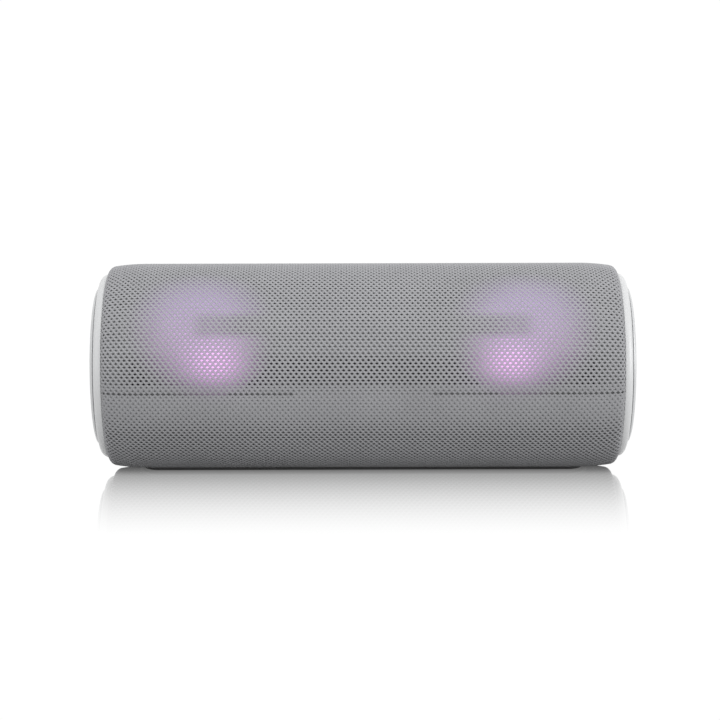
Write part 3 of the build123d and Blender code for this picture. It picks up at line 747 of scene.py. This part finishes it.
def drawSign(name):
    thin = button["signLine"]
    if name == "power":
        return [bow(0, -0.0001, 0.0013, thin, 125, 290), bar(0, 0.0011, thin, 0.0015)]
    if name == "pair":
        return [prism(-0.0013, -0.0009, 0.0004, 20), bow(-0.0013, -0.0009, 0.0011, thin, 5, 80),
                bow(-0.0013, -0.0009, 0.0018, thin, 5, 80), bow(-0.0013, -0.0009, 0.0025, thin, 5, 80)]
    if name == "volume_down":
        return [bar(0, 0, 0.0026, thin * 1.15)]
    if name == "volume_up":
        return [bar(0, 0, 0.0026, thin * 1.15), bar(0, 0.00072, thin * 1.15, 0.00104),
                bar(0, -0.00072, thin * 1.15, 0.00104)]
    if name == "play":
        return [prism(-0.0002, 0, 0.0015, 3, -90)]
    if name == "voice":
        return [bar(0, 0.0006, 0.0009, 0.0010), prism(0, 0.0011, 0.00045, 20), prism(0, 0.0001, 0.00045, 20),
                bow(0, 0.0002, 0.0011, thin, 180, 180), bar(0, -0.00135, thin, 0.0007)]
    rays = []
    for number in range(8):  # the light sign is a small sun
        turn = pi * number / 4
        rays.append(bar(0.0015 * cos(turn), 0.0015 * sin(turn), 0.0007, thin * 0.9, 45 * number))
    return [prism(0, 0, 0.00075, 24)] + rays


def makeButton(name):
    cap = turnPiece(capOutline(), button["steps"], False)
    cap.data.materials.append(slotFinishes["control_rubber"])
    signs = drawSign(name)
    for sign in signs:
        sign.data.materials.append(symbolFinish)
    joinInto(cap, signs)
    bpy.ops.object.transform_apply(location=True, rotation=True, scale=True)
    cap.data.transform(facing(strip["angle"], 0.0, buttonX(name)))
    bpy.ops.object.shade_smooth_by_angle(angle=radians(35))
    cap.name = name + "_cap"
    finishPiece(cap, name + "_key", "control_rubber", name + "_button")


for name in keys:
    makeButton(name)
print("stage: control strip and buttons are made")


cover = {"angle": 205.0, "length": 0.049, "width": 0.0192, "corner": 0.003, "thick": 0.00095,
         "rimLength": 0.0436, "rimWidth": 0.0146, "rimWall": 0.0012, "rimDeep": 0.0041,
         "rimCorner": 0.002, "rimRound": 0.0002, "border": 0.0012, "borderSlope": 0.00018,
         "panelDeep": 0.00014, "edgeRound": 0.00028, "gripX": 0.006, "gripUp": 0.0072,
         "gripStep": 0.0011, "gripWide": 0.0005, "gripTall": 0.0006}


def roundedSlab(length, width, low, high, corner):
    bpy.ops.mesh.primitive_cube_add(size=1, location=(0, 0, (low + high) / 2),
                                    scale=(length, width, high - low))
    slab = bpy.context.object
    bpy.ops.object.transform_apply(location=True, rotation=True, scale=True)
    selectEdges(slab, lambda a, b: abs(a.x - b.x) < 1e-6 and abs(a.y - b.y) < 1e-6)
    bpy.ops.mesh.bevel(offset=corner, segments=10, affect="EDGES")
    bpy.ops.object.mode_set(mode="OBJECT")
    return slab


def makeCover():
    startFresh()
    lid = roundedSlab(cover["length"], cover["width"], -cover["thick"], -0.00002, cover["corner"])
    selectFaces(lid, lambda normal: normal.z > 0.9)  # a shallow panel inside a raised border
    bpy.ops.mesh.inset(thickness=cover["border"])
    bpy.ops.mesh.inset(thickness=cover["borderSlope"])
    bpy.ops.transform.translate(value=(0, 0, -cover["panelDeep"]))
    bpy.ops.object.mode_set(mode="OBJECT")
    roundEdges(lid, cover["edgeRound"], 3, 60.0)
    rim = roundedSlab(cover["rimLength"], cover["rimWidth"], -cover["rimDeep"], -cover["thick"] + 0.0001,
                      cover["rimCorner"])
    selectFaces(rim, lambda normal: normal.z < -0.9)  # hollowed from inside, which leaves a wall
    bpy.ops.mesh.inset(thickness=cover["rimWall"])
    bpy.ops.transform.translate(value=(0, 0, cover["rimDeep"] - cover["thick"] - 0.0001))
    bpy.ops.object.mode_set(mode="OBJECT")
    roundEdges(rim, cover["rimRound"], 2, 60.0)
    grips = []
    for number in range(3):  # ridges for a fingernail, near the edge that lifts
        up = cover["gripUp"] - cover["gripStep"] * number
        length = 2 * cover["gripX"] - 0.002 * number
        bpy.ops.mesh.primitive_cube_add(size=1, location=(0, up, -0.0001),
                                        scale=(length, cover["gripWide"], cover["gripTall"]))
        ridge = bpy.context.object
        bpy.ops.object.transform_apply(location=True, rotation=True, scale=True)
        roundEdges(ridge, cover["rimRound"], 3, 40.0)
        grips.append(ridge)
    joinInto(lid, [rim, *grips])
    sliceAcross(lid, cover["width"] / 2, 18)
    wrapOnBody(lid, cover["angle"])
    settle(lid, "port_cover", 30.0)
    finishPiece(lid, "flap", "control_rubber", "port_flap")


makeCover()
print("stage: port cover is made")


sleeve = {"rows": 194, "across": 98, "leanStart": 0.095, "leanAngle": 8.66, "edgeRadius": 0.0032,
          "tuck": 0.0018, "holeLong": 0.31, "holeTall": 0.34, "sink": 0.00042, "sinkTall": 0.00030,
          "bandEdge": -3.6, "fadeFrom": 1.2, "faintHole": 0.62, "tightTo": -16.0, "openFrom": -30.0,
          "tightHole": 0.46, "lowHole": 1.2, "dotsFrom": 0.030, "dotHole": 1.25, "brightFrom": 30.0,
          "brightTo": 46.0, "brightCut": 0.06, "pairedFrom": 17.0, "pairedCut": 0.14,
          "keepFrom": 0.00025, "endKeep": 0.2, "hemGap": 0.00005, "hemReach": 0.002, "tuckShift": 0.0009}
openings = (  # angle round the body, half length, half width, corner radius, with the gap round the part
    {"name": "control_hem", "angle": 118.0, "long": 0.0522, "wide": 0.0092, "corner": 0.0092},
    {"name": "port_hem", "angle": 205.0, "long": 0.0251, "wide": 0.0104, "corner": 0.0034},
    {"name": "foot_hem", "angle": 270.0, "long": 0.0976, "wide": 0.0071, "corner": 0.0071},
)


def sleeveRun():
    # The lengths of the straight, the leaning curve, the tight edge and the tuck
    edgeRun = sleeveEnd - sleeve["leanStart"] - sleeve["edgeRadius"]
    lean = radians(sleeve["leanAngle"])
    leanRadius = edgeRun / sin(lean) + sleeve["edgeRadius"]
    return leanRadius, sleeve["leanStart"], leanRadius * lean, sleeve["edgeRadius"] * (pi / 2 - lean)


def sleevePoint(run, turn, sink):
    # A point of the sleeve: run is the distance along the cloth from the middle, turn the angle round
    leanRadius, straight, leanLength, edgeLength = sleeveRun()
    side = np.sign(run)
    run = np.abs(run)
    tilt = np.clip((run - straight) / leanRadius, 0, leanLength / leanRadius)
    x = np.minimum(run, straight) + leanRadius * np.sin(tilt)
    r = bodyRadius - leanRadius * (1 - np.cos(tilt))
    bend = np.clip((run - straight - leanLength) / sleeve["edgeRadius"], 0, edgeLength / sleeve["edgeRadius"])
    heading = tilt + bend
    x = x + sleeve["edgeRadius"] * (np.sin(heading) - np.sin(tilt))
    r = r - sleeve["edgeRadius"] * (np.cos(tilt) - np.cos(heading))
    tuck = np.maximum(run - straight - leanLength - edgeLength, 0)
    r = r - tuck
    x = x - np.minimum(tuck, sleeve["tuckShift"]) * 0.6
    x = x - sink * np.sin(heading)
    r = r - sink * np.cos(heading)
    return np.stack([side * x, -np.cos(turn) * r, axisZ + np.sin(turn) * r], axis=-1)


def gapTo(run, turn, hole):
    # How far a point of the cloth is outside an opening, and which way is out
    up = (turn - radians(hole["angle"]) + pi) % (2 * pi) - pi
    u, v = run, up * bodyRadius
    du = np.abs(u) - (hole["long"] - hole["corner"])
    dv = np.abs(v) - (hole["wide"] - hole["corner"])
    pu, pv = np.maximum(du, 0), np.maximum(dv, 0)
    gap = np.hypot(pu, pv) + np.minimum(np.maximum(du, dv), 0) - hole["corner"]
    size = np.maximum(np.hypot(pu, pv), 1e-9)
    outU = np.where(pu + pv > 0, pu / size, (du > dv) * 1.0) * np.sign(u)
    outV = np.where(pu + pv > 0, pv / size, (du <= dv) * 1.0) * np.sign(v)
    return gap, outU, outV


def holeSize(run, turn):
    # Small holes in the dense band under the acoustic one, and a row of large ones along its edge
    angle = np.degrees((turn + pi) % (2 * pi) - pi)
    step = 360.0 / sleeve["rows"]
    soft = np.clip((angle - sleeve["openFrom"]) / (sleeve["tightTo"] - sleeve["openFrom"]), 0, 1)
    low = sleeve["lowHole"] - (sleeve["lowHole"] - sleeve["tightHole"]) * soft
    between = (np.round(angle / step).astype(int) % 2 == 1) & (angle > sleeve["pairedFrom"])
    bright = (angle > sleeve["brightFrom"]) & (angle < sleeve["brightTo"])
    high = 1 - sleeve["brightCut"] * bright - sleeve["pairedCut"] * between
    high = np.where(angle < sleeve["fadeFrom"], sleeve["faintHole"], high)
    size = np.where(angle < sleeve["bandEdge"] - step / 2, low, high)
    dots = (np.abs(angle - sleeve["bandEdge"]) <= step / 2) & (np.abs(run) > sleeve["dotsFrom"])
    return np.where(dots, sleeve["dotHole"], size)


def makeSleeve():
    rows, across = sleeve["rows"], sleeve["across"]
    total = sum(sleeveRun()[1:]) + sleeve["tuck"]
    pitch = 2 * total / across
    half = across // 2
    turnStep = 2 * pi / rows
    j, i = np.meshgrid(np.arange(rows), np.arange(-half, half), indexing="ij")
    odd = j % 2
    # Crossings: one to the right of each hole, and one more at the start of each row
    cj, ci = np.meshgrid(np.arange(rows), np.arange(-half - 1, half), indexing="ij")
    crossRun = np.clip((ci + 0.5 + 0.5 * (cj % 2)) * pitch, -total, total)
    crossTurn = cj * turnStep
    holeRun = (i + 0.5 * odd) * pitch
    holeTurn = j * turnStep
    keep = np.abs(holeRun) < total - pitch * sleeve["endKeep"]
    for hole in openings:
        keep &= gapTo(holeRun, holeTurn, hole)[0] > sleeve["keepFrom"]
        gap, outU, outV = gapTo(crossRun, crossTurn, hole)
        push = np.maximum(sleeve["hemGap"] - gap, 0) * (gap > -sleeve["hemReach"])
        crossRun = crossRun + outU * push
        crossTurn = crossTurn + outV * push / bodyRadius
    size = holeSize(holeRun, holeTurn)
    longWay, tallWay = sleeve["holeLong"] * pitch * size, sleeve["holeTall"] * turnStep * size
    columns = across + 1
    rightCross = j * columns + (i + half + 1)
    leftCross = j * columns + (i + half)
    above = i + half + 1 - (1 - odd)
    topCross = ((j + 1) % rows) * columns + above
    bottomCross = ((j - 1) % rows) * columns + above
    points = [sleevePoint(crossRun.ravel(), crossTurn.ravel(), 0.0)]
    corners = []
    start = rows * columns
    for du, dv, sink in ((1, 0, sleeve["sink"]), (0, 1, sleeve["sinkTall"]),
                         (-1, 0, sleeve["sink"]), (0, -1, sleeve["sinkTall"])):
        run = np.clip(holeRun + du * longWay, -total, total)
        points.append(sleevePoint(run.ravel(), (holeTurn + dv * tallWay).ravel(), sink))
        corners.append(start + np.arange(rows * across).reshape(rows, across))
        start += rows * across
    points = np.concatenate(points)
    right, top, left, bottom = corners
    quads = np.stack([np.stack([rightCross, topCross, top, right], -1),
                      np.stack([topCross, leftCross, left, top], -1),
                      np.stack([leftCross, bottomCross, bottom, left], -1),
                      np.stack([bottomCross, rightCross, right, bottom], -1)], axis=2)
    quads = quads[keep].reshape(-1, 4)
    used, quads = np.unique(quads, return_inverse=True)
    quads = quads.reshape(-1, 4)
    mesh = bpy.data.meshes.new("woven_sleeve")
    mesh.from_pydata(points[used].tolist(), [], quads.tolist())
    ways = np.array([[(0, 0), (1, 0), (0.7, 1), (0.3, 1)], [(0, 0), (1, 0), (0.7, 1), (0.3, 1)],
                     [(1, 0), (0, 0), (0.3, -1), (0.7, -1)], [(1, 0), (0, 0), (0.3, -1), (0.7, -1)]])
    layer = mesh.uv_layers.new(name="strand")
    layer.data.foreach_set("uv", np.tile(ways.reshape(-1), len(quads) // 4).astype(np.float32))
    mesh.shade_smooth()
    mesh.materials.append(slotFinishes["mesh_fabric"])
    piece = bpy.data.objects.new("woven_sleeve", mesh)
    bpy.context.scene.collection.objects.link(piece)
    print("sleeve: holes", int(keep.sum()), "faces", len(quads), "pitch", round(pitch * 1000, 3))
    return piece, total


hem = {"section": ((0.0, -0.0009), (0.0, 0.00002), (0.0003, 0.00016), (0.0010, 0.00020),
                   (0.0017, 0.00014), (0.0021, -0.00012), (0.0021, -0.0005), (0.0, -0.0009)),
       "arcSteps": 18, "straightSteps": 60, "sideSteps": 10}


def outlineOf(hole):
    # Points and outward directions round an opening, anticlockwise
    places = []
    quarters = ((1, 1, 0), (-1, 1, 90), (-1, -1, 180), (1, -1, 270))
    for number, (signU, signV, start) in enumerate(quarters):
        midU = signU * (hole["long"] - hole["corner"])
        midV = signV * (hole["wide"] - hole["corner"])
        for k in range(hem["arcSteps"] + 1):
            turn = radians(start + 90 * k / hem["arcSteps"])
            places.append((midU + hole["corner"] * cos(turn), midV + hole["corner"] * sin(turn),
                           cos(turn), sin(turn)))
        steps = hem["straightSteps"] if number % 2 == 0 else hem["sideSteps"]
        nextU, nextV = quarters[(number + 1) % 4][:2]
        turn = radians(start + 90)
        endU = nextU * (hole["long"] - hole["corner"]) + hole["corner"] * cos(turn)
        endV = nextV * (hole["wide"] - hole["corner"]) + hole["corner"] * sin(turn)
        lastU, lastV = places[-1][:2]
        if hypot(endU - lastU, endV - lastV) > 0.0005:
            for k in range(1, steps):
                share = k / steps
                places.append((lastU + (endU - lastU) * share, lastV + (endV - lastV) * share,
                               cos(turn), sin(turn)))
    return places


def makeHem(hole):
    places = outlineOf(hole)
    u, v, du, dv = (np.array(column) for column in zip(*places))
    loops = []
    for away, lift in hem["section"][:-1]:
        loops.append(sleevePoint(u + du * away, radians(hole["angle"]) + (v + dv * away) / bodyRadius, -lift))
    points = np.concatenate(loops)
    count, width = len(hem["section"]) - 1, len(places)
    faces = []
    for k in range(count):
        for n in range(width):
            nextN, nextK = (n + 1) % width, (k + 1) % count
            faces.append((k * width + n, nextK * width + n, nextK * width + nextN, k * width + nextN))
    mesh = bpy.data.meshes.new(hole["name"])
    mesh.from_pydata(points.tolist(), [], faces)
    mesh.materials.append(hemFinish)
    piece = bpy.data.objects.new(hole["name"], mesh)
    bpy.context.scene.collection.objects.link(piece)
    settle(piece, hole["name"], 50.0)
    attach(piece, "root")
    return piece


sleevePiece, halfRun = makeSleeve()
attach(sleevePiece, "root")
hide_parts("fabric_sleeve")
hems = [makeHem(hole) for hole in openings]
2 * halfRun
print("stage: sleeve is woven")


film = {"radius": 0.0335, "depth": -0.00095, "thick": 0.00012, "steps": 72, "rings": 9}


def makeFilm(side, hand):
    # A thin round film over each light opening, between the casing and the sleeve
    startFresh()
    bpy.ops.mesh.primitive_circle_add(vertices=film["steps"], radius=film["radius"] / film["rings"],
                                      fill_type="TRIFAN", location=(0, 0, film["depth"]))
    piece = bpy.context.object
    bpy.ops.object.transform_apply(location=True, rotation=True, scale=True)
    for number in range(1, film["rings"]):
        reach = film["radius"] * number / film["rings"]
        selectEdges(piece, lambda a, b: min(hypot(a.x, a.y), hypot(b.x, b.y)) > reach - 0.0005)
        bpy.ops.mesh.extrude_edges_move(TRANSFORM_OT_translate={"value": (0, 0, 0)})
        grow = (number + 1) / number
        bpy.ops.transform.resize(value=(grow, grow, 1), center_override=(0, 0, film["depth"]))
        bpy.ops.object.mode_set(mode="OBJECT")
    for corner in piece.data.vertices:
        corner.co.x += side * glow["middleX"]
    wrapOnBody(piece, glow["tilt"])
    wall = piece.modifiers.new("wall", "SOLIDIFY")
    wall.thickness = film["thick"]
    wall.offset = -1.0
    bpy.context.view_layer.objects.active = piece
    bpy.ops.object.modifier_apply(modifier=wall.name)
    settle(piece, hand + "_light_film", 40.0)
    piece.data.materials.append(filmFinish)
    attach(piece, "root")


for side, hand in ends:
    makeFilm(side, hand)
print("stage: light films are laid")


floorPlan = {"size": 12.0, "mirror": 0.80, "fade": 0.118, "power": 1.55, "halfRun": 0.105, "bright": 1.02,
             "bounce": 0.74, "bounceNear": 0.06, "bounceFrom": 0.010, "bounceFull": 0.075,
             "bounceBelow": 0.0004, "dark": 0.18, "darkFrom": 0.006, "darkTo": 0.018}


def fromFootprint(finish):
    x, y = finish.parts(finish.place())[:2]
    beyond = (abs(x) - floorPlan["halfRun"]).atLeast(0.0)
    return (beyond * beyond + y * y).root()


def makeBounce():
    # What the floor throws back up: little close to the speaker, where it stands in its own shade
    startFresh()
    level = cadLow.z - floorPlan["bounceBelow"]
    bpy.ops.mesh.primitive_plane_add(size=floorPlan["size"], location=(0, 0, level))
    card = bpy.context.object
    card.name = "bounceCard"
    card.visible_camera = card.visible_glossy = card.visible_transmission = False
    finish = Finish("bounceLight")
    share = fromFootprint(finish).rise(floorPlan["bounceFrom"], floorPlan["bounceFull"])
    bright = share * (floorPlan["bounce"] - floorPlan["bounceNear"]) + floorPlan["bounceNear"]
    tone = finish.blend(bright, (0, 0, 0, 1), (1, 1, 1, 1))
    light = finish.node("ShaderNodeEmission", None, {"Color": tone, "Strength": 1.0})
    end = finish.node("ShaderNodeOutputMaterial")
    finish.tree.links.new(light.made.outputs[0], end.made.inputs["Surface"])
    card.data.materials.append(finish.material)


def makeFloor():
    startFresh()
    bpy.ops.mesh.primitive_plane_add(size=floorPlan["size"], location=(0, 0, cadLow.z))
    floor = bpy.context.object
    floor.name = "floor"
    floor.visible_diffuse = False
    finish = Finish("paleFloor")
    away = fromFootprint(finish)
    near = (1.0 - away / floorPlan["fade"]).atLeast(0.0) ** floorPlan["power"]
    # painted shadow: close to the footprint the floor's white glow gives way to more mirror, which darkens
    # the contact
    shade = away.rise(floorPlan["darkFrom"], floorPlan["darkTo"]) * floorPlan["dark"]
    near = near * (1.0 + floorPlan["dark"] - shade)
    white = finish.node("ShaderNodeEmission", None, {"Color": (1, 1, 1, 1), "Strength": floorPlan["bright"]})
    mirror = finish.node("ShaderNodeBsdfGlossy", None, {"Color": (1, 1, 1, 1), "Roughness": 0.02})
    both = finish.node("ShaderNodeMixShader", None, {0: near * floorPlan["mirror"]})
    end = finish.node("ShaderNodeOutputMaterial")
    finish.tree.links.new(white.made.outputs[0], both.made.inputs[1])
    finish.tree.links.new(mirror.made.outputs[0], both.made.inputs[2])
    finish.tree.links.new(both.made.outputs[0], end.made.inputs["Surface"])
    floor.data.materials.append(finish.material)


lamps = (
    {"name": "rightSoftbox", "place": (1.5, -0.25, 0.30), "size": (0.8, 0.8), "power": 8.0},
    {"name": "leftSoftbox", "place": (-1.5, -0.25, 0.30), "size": (0.8, 0.8), "power": 0.8},
    {"name": "topSoftbox", "place": (0.0, -0.35, 1.3), "size": (1.8, 1.0), "power": 6.5},
    {"name": "frontSoftbox", "place": (0.0, -1.8, 0.7), "size": (1.6, 1.0), "power": 6.5},
)


def makeLight():
    for lamp in lamps:
        data = bpy.data.lights.new(lamp["name"], "AREA")
        data.shape = "RECTANGLE"
        data.size, data.size_y = lamp["size"]
        data.energy = lamp["power"]
        holder = bpy.data.objects.new(lamp["name"], data)
        bpy.context.scene.collection.objects.link(holder)
        holder.location = lamp["place"]
        toward = Vector((0, 0, axisZ)) - Vector(lamp["place"])
        holder.rotation_euler = toward.to_track_quat("-Z", "Y").to_euler()
    world = bpy.data.worlds.new("studio")
    bpy.context.scene.world = world
    world.use_nodes = True
    finish = Finish("studio", world.node_tree)
    sky = finish.node("ShaderNodeBackground", None, {"Color": (1, 1, 1, 1), "Strength": 1.0})
    end = finish.node("ShaderNodeOutputWorld")
    finish.tree.links.new(sky.made.outputs[0], end.made.inputs["Surface"])
    bpy.context.scene.view_settings.view_transform = "Standard"


makeFloor()
makeBounce()
makeLight()
print("stage: floor and light are set")
